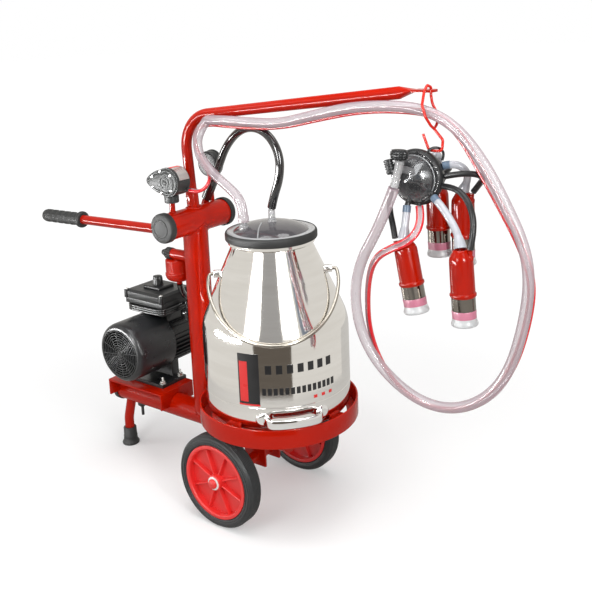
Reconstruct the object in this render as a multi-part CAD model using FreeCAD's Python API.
import FreeCAD, Part
import math
import os

# Mobile one-bucket milking machine. Millimetres, +Z up, +X from the push handle towards
# the milking cluster. The origin is on the floor under the middle of the machine.

# ---- driving dimensions -------------------------------------------------------------
column_x = -100.0            # the upright post of the trolley
bucket_x = 142.0             # axis of the bucket and of its tray
axle_x = 82.0
motor_x = -302.0
foot_x = -408.0

wheel_radius = 113.0
rim_radius = 86.0
wheel_y = 158.0              # middle of each wheel, left and right
axle_radius = 8.0
running_gap = 0.06           # radial clearance where something turns on a pin

beam_z = 168.0
beam_radius = 30.0
beam_start_x = -423.0
beam_end_x = 172.0
drain_x = -348.0
column_radius = 31.5
wall = 3.0                   # wall of the frame tubes

tank_z = 685.0
tank_radius = 33.0
tank_half_length = 111.0

tray_radius = 190.0
tray_low_z = 235.0
tray_high_z = 279.0
bar_top_z = 269.0            # the bucket stands here

bucket_radius = 172.5
shoulder_z = 478.0
neck_z = 655.0
neck_radius = 95.0
mouth_z = 668.0
lid_radius = 107.0

handle_tube_radius = 12.7
handle_end_x = -697.0
handle_z = 648.2
handle_drop_deg = 1.28
boom_radius = 13.0
boom_rise_deg = 6.3
post_lean_deg = 4.0
boom_corner = (-116.7, 940.0)     # x and z where post and boom lines meet
boom_bend_radius = 85.0
boom_round_end_x = 488.0

motor_z = 325.0
cowl_radius = 79.0
fin_radius = 75.0
barrel_radius = 66.0
shaft_radius = 9.5
box_low_z = 405.0            # underside of the terminal box, just above the cowl

milk_hose_radius = 11.0
vacuum_hose_radius = 10.0
pulse_hose_radius = 6.5
short_milk_radius = 7.5
short_pulse_radius = 6.0
suction_radius = 8.0
mains_radius = 3.5

cup_shell_radius = 23.5

# Each teat cup hangs from the middle of its top to the middle of its mouth.
cups = {
    "a": ((537, -75, 728), (564, -75, 584)),
    "b": ((551, 35, 819), (557, 35, 672)),
    "c": ((663, -85, 727), (672, -85, 580)),
    "d": ((611, 30, 810), (613, 30, 663)),
}
# Direction from each cup's axis to its side nipple.
nipple_side = {"a": (-1, 0, -0.19), "b": (0, 1, 0), "c": (1, 0, 0.06), "d": (1, 0, 0.01)}

claw_centre = (544.0, -35.0, 846.0)
bail_axis_z = 588.0
bail_heading_deg = 39.3      # where the bail's opening faces, turned from -Y towards +X
bail_hang_deg = 57.0         # how far the bail hangs from straight down
bail_half_width = 150.0
bail_reach = 216.0
bail_rod_radius = 4.0

# ---- hose routes: middle line of each hose, from its first fitting to its last --------
vacuum_route = [
    (-112, 60, 728), (-90, 57, 762), (-52, 46, 812), (-16, 37, 868), (40, 25, 911),
    (100, 12, 922), (155, -3, 905), (186, -10, 862), (182, -10, 812), (160, -6, 768),
    (149, -2, 740.5),
]
milk_route = [
    (107, -54, 713), (107, -54, 738), (98, -52, 761), (76, -48, 779), (20, -43, 809),
    (-14, -39, 834), (-40, -34, 858), (-44, -31, 904), (-11, -29, 938), (38, -27, 940),
    (112, -26, 937), (200, -26, 937), (290, -26, 958), (390, -25, 979), (490, -25, 984),
    (562, -25, 977), (624, -26, 948), (680, -29, 888), (726, -31, 812), (766, -34, 735),
    (779, -37, 668), (769, -40, 582), (745, -43, 490), (702, -46, 425), (635, -48, 384),
    (565, -51, 381), (500, -55, 412), (445, -58, 464), (416, -61, 530), (410, -62, 600),
    (430, -68, 668), (474, -76, 736), (507, -86, 794), (523, -87, 831),
]
pulse_route = [
    (-48, -60, 774), (-28, -60, 771), (-8, -52, 779), (-4, -38, 798), (-18, -27, 818),
    (-44, -18, 840), (-66, -13, 863), (-74, -10, 892), (-60, -8, 918), (-22, -7, 928),
    (30, -8, 926), (90, -9, 925), (190, -7, 927), (300, -7, 951), (400, -6, 970),
    (500, -6, 974), (572, -7, 967), (621, -8, 935), (667, -10, 866), (711, -12, 796),
    (754, -15, 724), (777, -17, 660), (770, -20, 584), (746, -23, 494), (704, -26, 424),
    (640, -29, 374), (570, -31, 364), (502, -33, 386), (455, -37, 440), (429, -40, 510),
    (430, -46, 585), (452, -68, 650), (486, -94, 692), (525, -106, 716), (560, -102, 732),
    (573, -84, 752), (568, -62, 776), (558, -50, 792),
]
suction_route = [
    (-176, 8, 503.8), (-177, 14, 480), (-181, 38, 458), (-188, 78, 448), (-198, 118, 446),
    (-212, 148, 438), (-232, 160, 421), (-245.4, 160, 403.8),
]
short_milk_routes = {
    "a": [(533, -54, 792), (534, -60, 772), (536, -70, 750), (537, -75, 730)],
    "b": [(555, -4, 872), (560, 12, 886), (558, 32, 880), (552, 38, 852), (551, 35, 821)],
    "c": [(588, -48, 812), (610, -56, 798), (640, -68, 768), (658, -80, 746), (663, -85, 729)],
    "d": [(590, -12, 868), (612, -4, 874), (630, 10, 858), (624, 26, 834), (611, 30, 812)],
}
short_pulse_routes = {
    "a": [(489, -26, 832), (483, -36, 806), (491, -50, 776), (509, -67, 748), (517, -75, 729)],
    "b": [(563, -4, 838), (582, 14, 852), (578, 42, 856), (560, 56, 842), (551, 55, 821)],
    "c": [
        (600, -32, 832), (630, -42, 834), (662, -56, 818), (682, -70, 788), (687, -82, 756),
        (683, -85, 730),
    ],
    "d": [
        (600, -22, 850), (630, -17, 857), (658, -6, 856), (664, 12, 846), (650, 26, 832),
        (634, 30, 813),
    ],
}


# ---- small geometry helpers -----------------------------------------------------------
def vec(x, y, z):
    return FreeCAD.Vector(x, y, z)


def box(x0, x1, y0, y1, z0, z1):
    return Part.makeBox(x1 - x0, y1 - y0, z1 - z0, vec(x0, y0, z0))


def rod(start, end, radius):
    a = vec(*start)
    b = vec(*end)
    return Part.makeCylinder(radius, (b - a).Length, a, b - a)


def pipe(start, end, outer, inner):
    return rod(start, end, outer).cut(rod(start, end, inner))


def fused(first, *others):
    return first.multiFuse(list(others)).removeSplitter()


def turned(profile, base=(0, 0, 0), axis=(0, 0, 1)):
    """Turns a closed outline of (radius, height) points round an axis through base."""
    points = [vec(r, 0, h) for r, h in profile]
    face = Part.Face(Part.makePolygon(points + [points[0]]))
    solid = face.revolve(vec(0, 0, 0), vec(0, 0, 1), 360)
    turn = FreeCAD.Rotation(vec(0, 0, 1), vec(*axis))
    solid.Placement = FreeCAD.Placement(vec(*base), turn)
    return solid


def unit(v):
    return v * (1.0 / v.Length)


def route_wire(points, bend=None):
    """Straight runs joined by tangent arcs; returns the wire and its tightest radius."""
    p = [vec(*q) for q in points]
    edges = []
    start = p[0]
    tightest = 1e9
    for before, corner, after in zip(p, p[1:], p[2:]):
        u = unit(corner - before)
        w = unit(after - corner)
        half = math.acos(max(-1.0, min(1.0, u.dot(w)))) / 2
        shorter = min((corner - before).Length, (after - corner).Length)
        radius = bend if bend else 0.45 * shorter / math.tan(half)
        reach = radius * math.tan(half)
        tightest = min(tightest, radius)
        a = corner - u * reach
        b = corner + w * reach
        inward = unit(w - u)
        mid = corner + inward * (radius / math.cos(half) - radius)
        edges.append(Part.LineSegment(start, a).toShape())
        edges.append(Part.Arc(a, mid, b).toShape())
        start = b
    edges.append(Part.LineSegment(start, p[-1]).toShape())
    return Part.Wire(edges), tightest


def swept(points, radius, bend=None):
    """A round bar along a route, as one solid."""
    wire, tightest = route_wire(points, bend)
    start = vec(*points[0])
    ring = Part.Wire(Part.makeCircle(radius, start, vec(*points[1]) - start))
    solid = Part.Wire(wire).makePipeShell([ring], True, False)
    ideal = math.pi * radius**2 * wire.Length
    print(
        "swept r %.1f: length %.0f, tightest radius %.0f, volume %.3f of ideal"
        % (radius, wire.Length, tightest, solid.Volume / ideal)
    )
    return solid


def save(name, *solids):
    shape = solids[0] if len(solids) == 1 else Part.makeCompound(list(solids))
    shape.exportStep("parts/" + name + ".step")


# ---- solids that other pieces are cut to ----------------------------------------------
def beam_outside():
    return rod((beam_start_x, 0, beam_z), (beam_end_x, 0, beam_z), beam_radius)


def column_outside():
    return rod((column_x, 0, beam_z + 14), (column_x, 0, tank_z), column_radius)


def tank_outside():
    return rod(
        (column_x, -tank_half_length, tank_z), (column_x, tank_half_length, tank_z), tank_radius
    )


# ---- trolley frame --------------------------------------------------------------------
def main_beam():
    bore = rod((beam_start_x, 0, beam_z), (beam_end_x - wall, 0, beam_z), beam_radius - wall)
    return beam_outside().cut(bore)


def beam_end_cap():
    profile = [
        (0, 0), (29, 0), (33, 4), (33, 16), (30, 16), (30, 5), (0, 5),
    ]
    return turned(profile, (beam_start_x - 5, 0, beam_z), (1, 0, 0))


def drain_valve():
    outline = [(0, 101), (4, 101), (4, 124), (12, 132), (12, 142), (0, 142)]
    return turned(outline, (drain_x, 0, 0)).cut(beam_outside())


def column():
    bore = rod((column_x, 0, beam_z), (column_x, 0, tank_z), column_radius - wall)
    return column_outside().cut(bore).cut(beam_outside()).cut(tank_outside())


def cross_tank():
    inside = rod(
        (column_x, -tank_half_length + wall, tank_z),
        (column_x, tank_half_length - wall, tank_z),
        tank_radius - wall,
    )
    shell = tank_outside()
    stem = rod((column_x, -73, tank_z), (column_x, -73, 744), 7)
    gauge_stem = rod((column_x - 15, 84, tank_z + 20), (column_x - 15, 84, 780), 5.5)
    nipple = rod((-124, 63, tank_z + 22), (-113, 60.3, 726), 9)
    return fused(shell, stem, gauge_stem, nipple).cut(inside)


def tank_end_caps():
    profile = [
        (0, 7), (26, 7), (33, 3.5), (36.5, -1), (36.5, -13), (33, -13), (33, 0), (0, 0),
    ]
    caps = []
    for side in (-1, 1):
        caps.append(turned(profile, (column_x, side * tank_half_length, tank_z), (0, side, 0)))
    return caps


def post_point(z):
    corner_x, corner_z = boom_corner
    return (corner_x + (corner_z - z) * math.tan(math.radians(post_lean_deg)), 0, z)


def boom_point(x):
    corner_x, corner_z = boom_corner
    return (x, 0, corner_z + (x - corner_x) * math.tan(math.radians(boom_rise_deg)))


def boom_tube():
    route = [post_point(724), (boom_corner[0], 0, boom_corner[1]), boom_point(boom_round_end_x)]
    bar = swept(route, boom_radius, boom_bend_radius)
    bore_route = [route[0], route[1], boom_point(boom_round_end_x - 3)]
    bar = bar.cut(swept(bore_route, boom_radius - 2, boom_bend_radius))
    end = vec(*route[2])
    along = unit(end - vec(*route[1]))
    flat_x = boom_round_end_x + 36
    flat_z = end.z + 5
    round_end = Part.Wire(Part.makeCircle(boom_radius, end, along))
    flat = Part.Ellipse(vec(flat_x, 17, flat_z), vec(flat_x, 0, flat_z + 2.6), vec(flat_x, 0, flat_z))
    taper = Part.makeLoft([round_end, Part.Wire(flat.toShape())], True)
    tab = box(flat_x - 1, flat_x + 44, -16.5, 16.5, flat_z - 2.5, flat_z + 2.5)
    corners = [e for e in tab.Edges if abs(e.CenterOfMass.x - flat_x - 44) < 0.1 and e.Length < 6]
    tab = tab.makeFillet(9, corners)
    hole = rod((hook_x(), 0, flat_z - 9), (hook_x(), 0, flat_z + 9), 4.2)
    return fused(bar, taper, tab).cut(hole)


def hook_x():
    return boom_round_end_x + 36 + 34.5


def tab_z():
    return boom_point(boom_round_end_x)[2] + 5


def boom_socket():
    low = post_point(705)
    high = post_point(760)
    return pipe(low, high, 15.2, boom_radius).cut(tank_outside())


def tray_ring():
    ring = pipe((bucket_x, 0, tray_low_z), (bucket_x, 0, tray_high_z), tray_radius, tray_radius - 4)
    inner = tray_radius - 3
    flange = pipe((bucket_x, 0, tray_low_z), (bucket_x, 0, tray_low_z + 3), inner, tray_radius - 28)
    bar_low = bar_top_z - 6
    bars = [
        box(bucket_x - inner, bucket_x + inner, -20, 20, bar_low, bar_top_z),
        box(bucket_x - 20, bucket_x + 20, -inner, inner, bar_low, bar_top_z),
    ]
    posts = []
    for x in (bucket_x - 130, bucket_x):
        posts.append(box(x - 20, x + 20, -20, 20, beam_z + 10, bar_low))
    lug = box(column_x + 20, bucket_x - inner, -15, 15, 242, 272)
    return fused(ring, flange, *bars, *posts, lug).cut(beam_outside()).cut(column_outside())


def axle_bracket():
    sleeve = rod((axle_x, -132, wheel_radius), (axle_x, 132, wheel_radius), 14)
    plates = []
    for y in (-30, 24):
        plates.append(box(axle_x - 32, axle_x + 32, y, y + 6, wheel_radius - 20, beam_z - 8))
    bore = rod((axle_x, -140, wheel_radius), (axle_x, 140, wheel_radius), axle_radius)
    return fused(sleeve, *plates).cut(beam_outside()).cut(bore)


def axle():
    half = wheel_y + 24
    shaft = rod((axle_x, -half - 4, wheel_radius), (axle_x, half + 4, wheel_radius), axle_radius)
    caps = []
    for side in (-1, 1):
        near = side * (half - 0.4)
        caps.append(rod((axle_x, near, wheel_radius), (axle_x, near + side * 2.4, wheel_radius), 13))
        dome = [(0, 7), (6, 6.4), (9, 4), (9.5, 0), (0, 0)]
        caps.append(turned(dome, (axle_x, near + side * 0.5, wheel_radius), (0, side, 0)))
    return fused(shaft, *caps)


def motor_channel():
    left = -409.0
    right = -206.0
    plate = box(left, right, -60, 60, 210, 215)
    flanges = []
    for x in (left, right - 5):
        flanges.append(box(x, x + 5, -60, 60, 170, 212))
    return fused(plate, *flanges)


def foot_points():
    return [(foot_x + 20, 0, beam_z - 20), (foot_x, 0, 78), (foot_x, 0, 12)]


def leg_tube():
    return swept(foot_points(), 13, 60).cut(beam_outside())


def foot_rubber():
    profile = [(0, 0), (23, 0), (24, 5), (20, 12), (17.5, 50), (13, 50), (13, 12), (0, 12)]
    return turned(profile, (foot_x, 0, 0))


# ---- wheels ---------------------------------------------------------------------------
def wheel_rim(side):
    ring = [
        (rim_radius - 14, -17), (rim_radius - 10, -20), (rim_radius + 4, -20), (rim_radius + 4, -16),
        (rim_radius, -13), (rim_radius, 13), (rim_radius + 4, 16), (rim_radius + 4, 20),
        (rim_radius - 10, 20), (rim_radius - 14, 17), (rim_radius - 12, 4), (rim_radius - 12, -4),
    ]
    centre = (axle_x, side * wheel_y, wheel_radius)
    body = turned(ring, centre, (0, side, 0))
    hub = rod((axle_x, side * (wheel_y - 22), wheel_radius), (axle_x, side * (wheel_y + 22), wheel_radius), 19)
    near = side * (wheel_y - 2)
    far = side * (wheel_y + 2)
    web = rod((axle_x, near, wheel_radius), (axle_x, far, wheel_radius), rim_radius - 9)
    spokes = []
    for k in range(8):
        spoke = box(axle_x + 14, axle_x + rim_radius - 8, -11, 13, wheel_radius - 2.4, wheel_radius + 2.4)
        spoke.translate(vec(0, side * wheel_y, 0))
        spoke.rotate(vec(axle_x, 0, wheel_radius), vec(0, 1, 0), 45.0 * k + 22.5)
        spokes.append(spoke)
    bore = rod((axle_x, side * 120, wheel_radius), (axle_x, side * 200, wheel_radius), axle_radius + running_gap)
    return fused(body, hub, web, *spokes).cut(bore)


def tyre(side):
    outline = [
        (rim_radius, -13), (rim_radius + 4, -16), (rim_radius + 6, -20), (rim_radius + 14, -21),
        (wheel_radius - 5, -18.5), (wheel_radius - 1, -13), (wheel_radius, 0),
        (wheel_radius - 1, 13), (wheel_radius - 5, 18.5), (rim_radius + 14, 21),
        (rim_radius + 6, 20), (rim_radius + 4, 16), (rim_radius, 13),
    ]
    return turned(outline, (axle_x, side * wheel_y, wheel_radius), (0, side, 0))


# ---- push handle ----------------------------------------------------------------------
def handle_point(x):
    return (x, 0, handle_z + (x - column_x) * math.tan(math.radians(handle_drop_deg)))


def handle_bar():
    tube = pipe(handle_point(handle_end_x + 9.2), handle_point(column_x), handle_tube_radius, handle_tube_radius - 2)
    return tube.cut(column_outside()).cut(tank_outside())


def handle_grip():
    end = vec(*handle_point(handle_end_x + 3))
    along = unit(vec(*handle_point(column_x)) - end)
    profile = [(0, -3), (13, -3), (17, 1)]
    for k in range(4):
        profile += [(18.5, 14 + 33 * k), (16.3, 30 + 33 * k)]
    profile += [
        (17, 146), (22, 152), (23, 160), (20, 166), (handle_tube_radius, 166),
        (handle_tube_radius, 6.2), (0, 6.2),
    ]
    return turned(profile, tuple(end), tuple(along))


# ---- electric motor and pump ----------------------------------------------------------
def motor_housing():
    barrel = rod((motor_x, 24, motor_z), (motor_x, 126, motor_z), barrel_radius)
    extra = []
    for k in range(36):
        fin = box(motor_x + barrel_radius - 3, motor_x + fin_radius, 32, 118, motor_z - 1.2, motor_z + 1.2)
        fin.rotate(vec(motor_x, 0, motor_z), vec(0, 1, 0), 10.0 * k + 5)
        extra.append(fin)
    extra.append(box(motor_x - 46, motor_x + 46, 34, 60, 220, 285))
    extra.append(box(motor_x - 72, motor_x + 72, -28, 60, 215, 224))
    extra.append(box(motor_x - 46, motor_x + 46, 30, 88, 372, box_low_z))
    inside = rod((motor_x, 32, motor_z), (motor_x, 118, motor_z), 42)
    shaft_hole = rod((motor_x, 0, motor_z), (motor_x, 140, motor_z), shaft_radius + running_gap)
    holes = []
    for x in (motor_x - 62, motor_x + 62):
        for y in (-17, 48):
            holes.append(rod((x, y, 210), (x, y, 230), 3.6))
    body = fused(barrel, *extra)
    return body.cut(inside).cut(shaft_hole).cut(holes[0].multiFuse(holes[1:]))


def fan_cowl():
    shell = [
        (cowl_radius, 26), (cowl_radius, -84), (cowl_radius - 2.5, -93), (cowl_radius - 8, -100),
        (cowl_radius - 16, -104), (0, -104), (0, -101.5), (cowl_radius - 17, -101.5),
        (cowl_radius - 10, -98), (cowl_radius - 4.5, -91.5), (cowl_radius - 2.2, -83),
        (cowl_radius - 2.2, 26),
    ]
    body = turned(shell, (motor_x, 0, motor_z), (0, 1, 0))
    seat = pipe((motor_x, 24, motor_z), (motor_x, 30, motor_z), cowl_radius - 0.5, barrel_radius)
    slots = []
    for k in range(5):
        inner = 14.0 + 10 * k
        slots.append(pipe((motor_x, -106, motor_z), (motor_x, -99, motor_z), inner + 6.5, inner))
    rings = slots[0].multiFuse(slots[1:])
    for k in range(8):
        rib = box(motor_x - 70, motor_x + 70, -108, -98, motor_z - 1.7, motor_z + 1.7)
        rib.rotate(vec(motor_x, 0, motor_z), vec(0, 1, 0), 22.5 * k)
        rings = rings.cut(rib)
    return fused(body, seat).cut(rings)


def rotor_shaft():
    shaft = rod((motor_x, -90, motor_z), (motor_x, 178, motor_z), shaft_radius)
    core = rod((motor_x, 42, motor_z), (motor_x, 108, motor_z), 40)
    pump_rotor = rod((motor_x, 146, motor_z), (motor_x, 176, motor_z), 40)
    return fused(shaft, core, pump_rotor)


def cooling_fan():
    hub = pipe((motor_x, -86, motor_z), (motor_x, -50, motor_z), 18, shaft_radius)
    disc = pipe((motor_x, -54, motor_z), (motor_x, -50, motor_z), 62, shaft_radius)
    blades = []
    for k in range(8):
        blade = box(motor_x + 16, motor_x + 62, -84, -52, motor_z - 1.5, motor_z + 1.5)
        blade.rotate(vec(motor_x, 0, motor_z), vec(0, 1, 0), 45.0 * k)
        blades.append(blade)
    return fused(hub, disc, *blades)


def frame_bolts():
    """Four studs with nuts through the motor's feet, and the boom's clamp screw."""
    bolts = []
    for x in (motor_x - 62, motor_x + 62):
        for y in (-17, 48):
            stud = rod((x, y, 215.2), (x, y, 242), 3.4)
            washer = rod((x, y, 224), (x, y, 225.6), 8.5)
            nut = Part.Face(Part.makePolygon(hexagon(x, y, 225.6, 6.5))).extrude(vec(0, 0, 6))
            bolts.append(fused(stud, washer, nut))
    x, _, z = post_point(738)
    bolts.append(rod((x - 15.7, 0, z), (x - 22, 0, z), 5))
    return bolts


def hexagon(x, y, z, size):
    corners = []
    for k in range(7):
        a = math.radians(60 * k)
        corners.append(vec(x + size * math.cos(a), y + size * math.sin(a), z))
    return corners


def terminal_box():
    z = box_low_z
    base = box(motor_x - 62, motor_x + 62, -2, 102, z, z + 23)
    upper = box(motor_x - 69, motor_x + 69, -8, 108, z + 23, z + 38)
    hollow = box(motor_x - 58, motor_x + 58, 2, 98, z + 4, z + 39)
    return fused(base, upper).cut(hollow)


def box_lid():
    low = box_low_z + 38
    high = box_low_z + 60
    lid = box(motor_x - 69, motor_x + 69, -8, 108, low, high)
    lid = lid.makeChamfer(6, [e for e in lid.Edges if e.CenterOfMass.z > high - 1])
    hollow = box(motor_x - 64, motor_x + 64, -3, 103, low - 1, high - 6)
    lugs = []
    for x in (motor_x - 66, motor_x + 66):
        for y in (-5, 105):
            lugs.append(rod((x, y, low), (x, y, high), 7))
    spindle_hole = rod((motor_x, 50, high - 12), (motor_x, 50, high + 8), 4 + running_gap)
    return fused(lid, *lugs).cut(hollow).cut(spindle_hole)


def box_screws():
    screws = []
    z = box_low_z + 60
    for x in (motor_x - 66, motor_x + 66):
        for y in (-5, 105):
            screws.append(turned([(0, 0), (4.5, 0), (4.5, 1.2), (3, 2.6), (0, 2.8)], (x, y, z)))
    return screws


def switch_plate():
    low = box_low_z + 60
    plate = box(motor_x - 30, motor_x + 30, 24, 78, low, low + 8)
    plate = plate.makeChamfer(2, [e for e in plate.Edges if e.CenterOfMass.z > low + 7])
    return plate.cut(rod((motor_x, 50, low - 12), (motor_x, 50, low + 18), 4 + running_gap))


def switch_knob():
    z = box_low_z + 68
    body = turned([(0, 0.3), (14, 0.3), (13, 6), (12, 22), (10, 24), (0, 24)], (motor_x, 50, z))
    grip = box(motor_x - 15, motor_x + 15, 46, 54, z + 3, z + 22)
    spindle = rod((motor_x, 50, z - 18), (motor_x, 50, z + 2), 4)
    return fused(body, grip, spindle)


def mains_coil():
    """Outer shape of the cable that is wound round the foot of the terminal box."""
    low = box_low_z + 0.5
    outer = box(motor_x - 72, motor_x + 72, -12, 112, low, low + 21.5)
    inner = box(motor_x - 63, motor_x + 63, -3, 103, low - 3, low + 24)
    uprights = [e for e in outer.Edges if e.Length < 22 and abs(e.tangentAt(0).z) > 0.9]
    return outer.makeFillet(16, uprights).cut(inner)


def mains_plug():
    """The moulded plug, hanging by the last of the cable from the coil."""
    z = box_low_z + 21
    plug = turned(
        [(0, 0), (5, 0), (9, 6), (18, 12), (18, 36), (0, 36)], (motor_x + 92, 62, z), (0, 0, -1)
    )
    tail = rod((motor_x + 73.2, 62, z - 9), (motor_x + 92, 62, z - 3), mains_radius)
    return fused(plug, tail)


def pump_housing():
    adaptor = rod((motor_x, 126, motor_z), (motor_x, 140, motor_z), 52)
    body = rod((motor_x, 138, motor_z), (motor_x, 182, motor_z), 62)
    extra = [box(motor_x - 40, motor_x + 40, 142, 180, 250, 290)]
    for k in range(4):
        extra.append(rod((motor_x, 142 + 10 * k, motor_z), (motor_x, 146 + 10 * k, motor_z), 67))
    tip = (motor_x + 56, 160, motor_z + 78)
    extra.append(rod((motor_x + 30, 160, motor_z + 40), tip, 10))
    extra.append(rod((motor_x - 50, 160, motor_z), (motor_x - 70, 160, motor_z), 15))
    extra.append(rod((motor_x - 50, 160, motor_z), (motor_x - 96, 160, motor_z), 10))
    chamber = rod((motor_x, 144, motor_z), (motor_x, 178, motor_z), 46)
    inlet = rod((motor_x + 19, 160, motor_z + 24), tip, 6)
    outlet = rod((motor_x - 40, 160, motor_z), (motor_x - 96, 160, motor_z), 6)
    shaft_hole = rod((motor_x, 120, motor_z), (motor_x, 184, motor_z), shaft_radius + running_gap)
    return fused(adaptor, body, *extra).cut(chamber).cut(inlet).cut(outlet).cut(shaft_hole)


def pump_cover():
    plate = turned([(0, 6), (50, 6), (58, 3), (60, 0), (0, 0)], (motor_x, 182, motor_z), (0, 1, 0))
    return plate


# ---- vacuum regulator, pulsator and gauge ---------------------------------------------
def regulator_pot():
    x = column_x - 76.0
    pot = turned(
        [(0, 515), (20, 515), (30, 520), (34.5, 530), (35, 535), (33, 538), (33, 566),
         (29, 573), (0, 573)], (x, 8, 0)
    )
    hollow = turned([(0, 520), (26, 522), (30, 532), (30, 564), (0, 568)], (x, 8, 0))
    neck = rod((x + 8, 0, 568), (x + 8, 0, 588), 11)
    stub = rod((x - 5, -4, 588), (column_x, -4, 588), 13.5)
    spigot = rod((x, 8, 517), (x, 8, 506), 7)
    return fused(pot, neck, stub, spigot).cut(hollow).cut(column_outside())


def regulator_cap():
    profile = [(0, 0), (14.5, 0)]
    for k in range(4):
        profile += [(14.8, 2 + 5 * k), (13.2, 4.5 + 5 * k)]
    profile += [(9, 24), (8, 32), (5, 35), (0, 35)]
    return turned(profile, (column_x - 81.0, -4, 588), (-1, 0, 0))


def teardrop(y0, y1, grow=0.0):
    """The pulsator's outline: a round body that narrows to a tip on the handle side."""
    cx, cz, radius = column_x + 12.0, 795.0, 34.0 + grow
    tip = vec(column_x - 54.0 - grow, y0, cz)
    a = math.radians(118)
    top = vec(cx + radius * math.cos(a), y0, cz + radius * math.sin(a))
    low = vec(cx + radius * math.cos(a), y0, cz - radius * math.sin(a))
    upper = Part.Arc(tip + vec(0.4, 0, 7), (tip + top) * 0.5 + vec(-3, 0, 6), top).toShape()
    lower = Part.Arc(low, (tip + low) * 0.5 + vec(-3, 0, -6), tip + vec(0.4, 0, -7)).toShape()
    nose = Part.Arc(tip + vec(0.4, 0, -7), tip - vec(2, 0, 0), tip + vec(0.4, 0, 7)).toShape()
    back = Part.Arc(top, vec(cx + radius, y0, cz), low).toShape()
    face = Part.Face(Part.Wire([upper, back, lower, nose]))
    return face.extrude(vec(0, y1 - y0, 0))


def pulsator_body():
    body = teardrop(-92, -50)
    neck = rod((column_x, -73, 742), (column_x, -73, 768), 17.5)
    nipple = rod((column_x + 38, -60, 775), (column_x + 51, -60, 774), 5)
    bore = rod((column_x, -73, 735), (column_x, -73, 744), 7)
    return fused(body, neck, nipple).cut(bore)


def pulsator_cover():
    flange = teardrop(-97, -92, 1.5)
    plate = teardrop(-100, -97, -1.5)
    ring = pipe((column_x + 8, -103, 795), (column_x + 8, -98, 795), 15, 11)
    dot = rod((column_x + 8, -104, 795), (column_x + 8, -98, 795), 6)
    return fused(flange, plate, ring, dot)


def pulsator_screws():
    screws = []
    places = [(-33, 12), (-6, 26), (27, 18), (27, -18), (-6, -26), (-33, -12)]
    for dx, dz in places:
        screws.append(
            turned([(0, 0), (4.2, 0), (4, 2), (0, 3)], (column_x + dx, -100, 795 + dz), (0, -1, 0))
        )
    return screws


gauge_centre = (column_x - 15, 84.0, 812.0)


def gauge_case():
    x, y, z = gauge_centre
    cup = turned(
        [(0, 0), (29, 0), (32, 3), (32, 22), (34, 22), (34, 27), (30, 27), (30, 3), (0, 3)],
        (x, y - 14, z), (0, 1, 0),
    )
    return cup


def gauge_dial():
    x, y, z = gauge_centre
    dial = turned([(0, 0), (30, 0), (30, 1.5), (0, 1.5)], (x, y, z), (0, 1, 0))
    post = rod((x, y + 1, z), (x, y + 6, z), 1.5)
    return fused(dial, post)


def gauge_needle():
    x, y, z = gauge_centre
    hub = pipe((x, y + 2.4, z), (x, y + 4.4, z), 4, 1.5 + running_gap)
    pointer = box(x + 2.2, x + 22, y + 2.6, y + 4, z - 1, z + 1)
    pointer.rotate(vec(x, y, z), vec(0, 1, 0), -45)
    return fused(hub, pointer)


# ---- bucket, lid and bail -------------------------------------------------------------
def bucket_shell():
    outside = [
        (0, bar_top_z + 4), (150, bar_top_z + 4), (154, bar_top_z), (166, bar_top_z),
        (170, bar_top_z + 6), (bucket_radius, bar_top_z + 16), (bucket_radius, shoulder_z - 8),
        (bucket_radius - 2.5, shoulder_z + 4), (neck_radius + 1.5, neck_z - 4), (neck_radius, neck_z + 2),
        (neck_radius + 1, neck_z + 4), (101, neck_z + 5), (101, mouth_z), (neck_radius - 2, mouth_z),
    ]
    inside = [
        (neck_radius - 2, neck_z - 2), (bucket_radius - 5, shoulder_z + 2),
        (bucket_radius - 2, shoulder_z - 9), (bucket_radius - 2, bar_top_z + 17),
        (163, bar_top_z + 7), (0, bar_top_z + 7),
    ]
    return turned(outside + inside, (bucket_x, 0, 0))


def bail_frame():
    """Unit vectors of the hanging bail: along its pivots, and down the way it hangs."""
    a = math.radians(bail_heading_deg)
    hang = math.radians(bail_hang_deg)
    front = vec(math.sin(a), -math.cos(a), 0)
    across = vec(math.cos(a), math.sin(a), 0)
    down = front * math.sin(hang) + vec(0, 0, -math.cos(hang))
    return across, down


def bucket_ears():
    across, _ = bail_frame()
    ears = []
    centre = vec(bucket_x, 0, bail_axis_z)
    cone = rod((bucket_x, 0, 500), (bucket_x, 0, 640), 110)
    slope = (bucket_radius - 2.5 - neck_radius - 1.5) / (neck_z - 4 - shoulder_z - 4)
    surface = neck_radius + 1.5 + (neck_z - 4 - bail_axis_z) * slope
    for side in (-1, 1):
        near = centre + across * (side * (surface - 14))
        far = centre + across * (side * (surface + 14))
        eye = centre + across * (side * (surface + 10))
        strap = Part.makeCylinder(9, (far - near).Length, near, across * side)
        body = strap.cut(cone)
        hole = Part.makeCylinder(
            bail_rod_radius + running_gap, 60, eye - across * (side * 6), across * side
        )
        ears.append(body.cut(hole).cut(bucket_solid()))
    return ears


def bucket_solid():
    outline = [
        (0, bar_top_z), (bucket_radius, bar_top_z), (bucket_radius, shoulder_z - 8),
        (bucket_radius - 2.5, shoulder_z + 4), (neck_radius + 1.5, neck_z - 4), (0, neck_z - 4),
    ]
    return turned(outline, (bucket_x, 0, 0))


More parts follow.
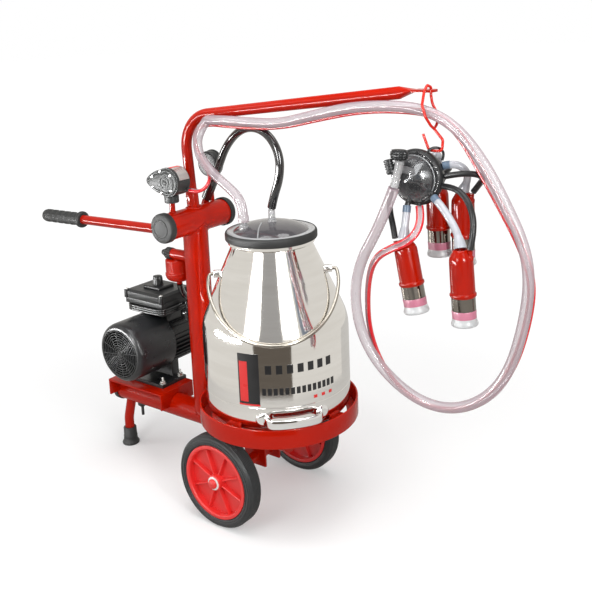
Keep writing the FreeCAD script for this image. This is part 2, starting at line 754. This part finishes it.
def bail():
    across, down = bail_frame()
    centre = vec(bucket_x, 0, bail_axis_z)
    slope = (bucket_radius - 2.5 - neck_radius - 1.5) / (neck_z - 4 - shoulder_z - 4)
    surface = neck_radius + 1.5 + (neck_z - 4 - bail_axis_z) * slope
    arc = Part.Ellipse(centre + down * bail_reach, centre + across * bail_half_width, centre)
    rim = arc.toShape(-math.pi / 2, math.pi / 2)
    first = rim.valueAt(rim.FirstParameter)
    ring = Part.Wire(Part.makeCircle(bail_rod_radius, first, rim.tangentAt(rim.FirstParameter)))
    bow = Part.Wire(rim).makePipeShell([ring], True, False)
    pieces = []
    for side in (-1, 1):
        corner = centre + across * (side * bail_half_width)
        pin = centre + across * (side * (surface + 7))
        pieces.append(Part.makeSphere(bail_rod_radius, corner))
        pieces.append(rod(tuple(pin), tuple(corner), bail_rod_radius))
    return fused(bow, *pieces)


def pour_grip():
    a = math.radians(-40)
    out = vec(math.cos(a), math.sin(a), 0)
    side = vec(-math.sin(a), math.cos(a), 0)
    z = 296.0
    centre = vec(bucket_x, 0, z)
    chord = math.sqrt((bucket_radius - 1) ** 2 - 66**2)
    reach = bucket_radius + 24
    points = [
        centre + out * chord + side * 66, centre + out * (reach - 4) + side * 60,
        centre + out * reach, centre + out * (reach - 4) - side * 60,
        centre + out * chord - side * 66,
    ]
    bar = swept([tuple(p) for p in points], 4, 18)
    return bar.cut(bucket_solid())


def lid_gasket():
    outline = [
        (88, 668.3), (104, 668.3), (lid_radius, 671), (lid_radius, 686), (104.5, 689),
        (103, 689), (103, 683), (88, 683),
    ]
    return turned(outline, (bucket_x, 0, 0))


def lid_nozzles():
    return [(bucket_x + 6, -2.0), (107.0, -54.0)]


def lid_dome():
    outline = [
        (103, 683), (103, 687.5), (86, 687.5), (70, 693), (45, 697.5), (20, 699.5), (0, 700),
        (0, 696.5), (20, 696), (44, 694), (68, 689.7), (84, 684.5), (84, 683),
    ]
    dome = turned(outline, (bucket_x, 0, 0))
    tubes = []
    bores = []
    for x, y in lid_nozzles():
        tubes.append(rod((x, y, 690), (x, y, 712 if y < -10 else 736), 8))
        tubes.append(rod((x, y, 690), (x, y, 704), 12))
        bores.append(rod((x, y, 680), (x, y, 740), 5.5))
    return fused(dome, *tubes).cut(bores[0]).cut(bores[1])


# ---- hook and milking cluster ---------------------------------------------------------
def hook():
    x = hook_x()
    z = tab_z()
    eye = [
        (x, 0, z - 9), (x + 1, 2.5, z - 25), (x + 10, 8, z - 46), (x + 15, -4, z - 64),
        (x + 16, -19, z - 71),
    ]
    other = [
        (x + 16, -19, z - 71), (x + 15, -30, z - 64), (x + 10, -42, z - 46), (x + 2, -40, z - 24),
        (x, -27, z + 2), (x, -15, z + 12), (x, 0, z + 7), (x, 0, z - 9),
    ]
    stem = [
        (x + 16, -19, z - 71), (x + 35, -19, z - 92), (x + 33, -19, z - 114),
        (x + 5, -19, z - 114), (x - 8, -19, z - 82),
    ]
    return fused(
        swept(eye, 2.75), swept(other, 2.75, 5), swept(stem, 2.75, 8),
        Part.makeSphere(2.75, vec(*eye[-1])), Part.makeSphere(2.75, vec(*eye[0])),
    )


def claw_body():
    """Black ring and back of the claw, with the hanger and the nipples for the tubes."""
    x, y, z = claw_centre
    ring = turned(
        [(43, -6), (50, -7), (55, -3), (56, 4), (54, 10), (48, 26), (30, 32), (0, 32),
         (0, 28), (28, 28), (43, 22)], (x, y, z), (0, 1, 0)
    )
    stubs = []
    for route in short_milk_routes.values():
        stubs.append(rod(claw_point(route[0]), route[0], 5.5))
    for route in short_pulse_routes.values():
        stubs.append(rod(claw_point(route[0]), route[0], 4.5))
    stubs.append(rod(claw_point(pulse_route[-1]), pulse_route[-1], 5))
    j_x = hook_x() + 18
    j_z = tab_z() - 114
    lug = box(j_x - 4, j_x + 4, -29, -9, j_z - 24, j_z + 6)
    arm = box(j_x - 30, j_x + 4, -24, -9, j_z - 30, j_z - 14)
    eye = rod((j_x - 10, -19, j_z - 1.2), (j_x + 10, -19, j_z - 1.2), 4.2)
    inside = rod((x, y - 7, z), (x, y + 24, z), 41)
    tubes = [swept(route, short_milk_radius) for route in short_milk_routes.values()]
    tubes += [swept(route, short_pulse_radius) for route in short_pulse_routes.values()]
    tubes.append(swept(pulse_route[-4:], pulse_hose_radius))
    body = fused(ring, lug, arm, *stubs).cut(inside).cut(eye)
    body = body.cut(tubes).cut(claw_bowl())
    return max(body.Solids, key=lambda piece: piece.Volume)


def claw_point(tip):
    """A point inside the claw's wall, on the way to a tube's first point."""
    x, y, z = claw_centre
    inward = vec(x, y + 14, z) - vec(*tip)
    p = vec(*tip) + unit(inward) * 16
    return (p.x, p.y, p.z)


def claw_bowl():
    x, y, z = claw_centre
    bowl = turned(
        [(50, -7), (43, -6), (42.9, -2), (40, -2), (36, -24), (26, -36), (0, -41), (0, -44),
         (28, -39), (39, -26), (44, -9), (50, -9)], (x, y, z), (0, 1, 0)
    )
    high = (x - 10.9, y - 45, z + 38.5)
    low = (x - 20, y - 52, z - 13)
    return fused(bowl, rod(high, low, 8)).cut(rod(high, low, 5.5))


def claw_valve():
    x, y, z = claw_centre
    pad = turned([(0, 0), (15, 0), (18, 4), (18, 12), (15, 16), (0, 17)], (x - 10, y - 45, z + 41))
    arm = turned([(0, 0), (9, 0), (10, 8), (8, 22), (0, 26)], (x - 22, y - 45, z + 52), (-0.75, 0, -0.66))
    stem = rod((x - 10.8, y - 45.2, z + 30), (x - 10.8, y - 45.2, z + 42), 3.2)
    return fused(pad, arm, stem)


def along_cup(cup, s, aside=0.0):
    """The point s below a cup's top, moved aside towards its nipple."""
    top, mouth = (vec(*p) for p in cups[cup])
    axis = unit(mouth - top)
    out = unit(vec(*nipple_side[cup]))
    p = top + axis * s + out * aside
    return (p.x, p.y, p.z)


def cup_turned(cup, profile):
    top, mouth = (vec(*p) for p in cups[cup])
    return turned(profile, tuple(top), tuple(unit(mouth - top)))


def cup_shells():
    r = cup_shell_radius
    solids = []
    for cup in cups:
        shell = cup_turned(cup, [
            (8, 0), (12, 0), (16, 5), (21, 10), (r - 0.6, 18), (r, 26), (r, 82), (r + 1.8, 85),
            (r + 1.8, 89), (r, 91), (r - 3, 91), (r - 3, 22), (16, 12), (8, 6),
        ])
        nipple = rod(along_cup(cup, 16, 19), along_cup(cup, 1, 20), 4.3)
        solids.append(fused(shell, nipple))
    return solids


def cup_sleeves():
    r = cup_shell_radius
    profile = [(r - 0.7, 91), (r - 0.7, 116), (r - 3, 116), (r - 3, 91)]
    return [cup_turned(cup, profile) for cup in cups]


def cup_liners():
    r = cup_shell_radius
    profile = [
        (8, 2), (8, 14), (14, 24), (14, 112), (r - 3, 112), (r - 3, 116), (r - 0.3, 117), (r - 0.6, 124),
        (r - 0.6, 132), (r + 2, 141), (r + 1.6, 145), (r - 2, 147), (12, 145), (11, 138),
        (11, 26), (5, 15), (5, 2),
    ]
    return [cup_turned(cup, profile) for cup in cups]


def short_tubes():
    tubes = []
    for cup in cups:
        tubes.append(swept(short_milk_routes[cup], short_milk_radius))
        tubes.append(swept(short_pulse_routes[cup], short_pulse_radius))
    return tubes


# ---- write every piece ----------------------------------------------------------------
os.makedirs("parts", exist_ok=True)

save("main_beam", main_beam())
save("beam_end_cap", beam_end_cap())
save("drain_valve", drain_valve())
save("column", column())
save("cross_tank", cross_tank())
save("tank_end_caps", *tank_end_caps())
save("boom_tube", boom_tube())
save("boom_socket", boom_socket())
save("tray_ring", tray_ring())
save("axle_bracket", axle_bracket())
save("axle", axle())
save("motor_channel", motor_channel().cut(beam_outside()))
save("leg_tube", leg_tube())
save("foot_rubber", foot_rubber())
for side, word in ((1, "left"), (-1, "right")):
    save("wheel_rim_" + word, wheel_rim(side))
    save("tyre_" + word, tyre(side))
save("handle_bar", handle_bar())
save("handle_grip", handle_grip())
save("motor_housing", motor_housing())
save("fan_cowl", fan_cowl())
save("rotor_shaft", rotor_shaft())
save("cooling_fan", cooling_fan())
save("frame_bolts", *frame_bolts())
save("terminal_box", terminal_box())
save("box_lid", box_lid())
save("box_screws", *box_screws())
save("switch_plate", switch_plate())
save("switch_knob", switch_knob())
save("mains_coil", mains_coil())
save("mains_plug", mains_plug())
save("pump_housing", pump_housing())
save("pump_cover", pump_cover())
save("regulator_pot", regulator_pot())
save("regulator_cap", regulator_cap())
save("pulsator_body", pulsator_body())
save("pulsator_cover", pulsator_cover())
save("pulsator_screws", *pulsator_screws())
save("gauge_case", gauge_case())
save("gauge_dial", gauge_dial())
save("gauge_needle", gauge_needle())
save("bucket_shell", bucket_shell())
save("bucket_ears", *bucket_ears())
save("bail", bail())
save("pour_grip", pour_grip())
save("lid_gasket", lid_gasket())
save("lid_dome", lid_dome())
save("hook", hook())
save("claw_body", claw_body())
save("claw_bowl", claw_bowl())
save("claw_valve", claw_valve())
save("cup_shells", *cup_shells())
save("cup_sleeves", *cup_sleeves())
save("cup_liners", *cup_liners())
save("vacuum_hose", swept(vacuum_route, vacuum_hose_radius))
save("milk_hose", swept(milk_route, milk_hose_radius))
save("pulse_hose", swept(pulse_route, pulse_hose_radius))
save("suction_hose", swept(suction_route, suction_radius))
save("short_tubes", *short_tubes())
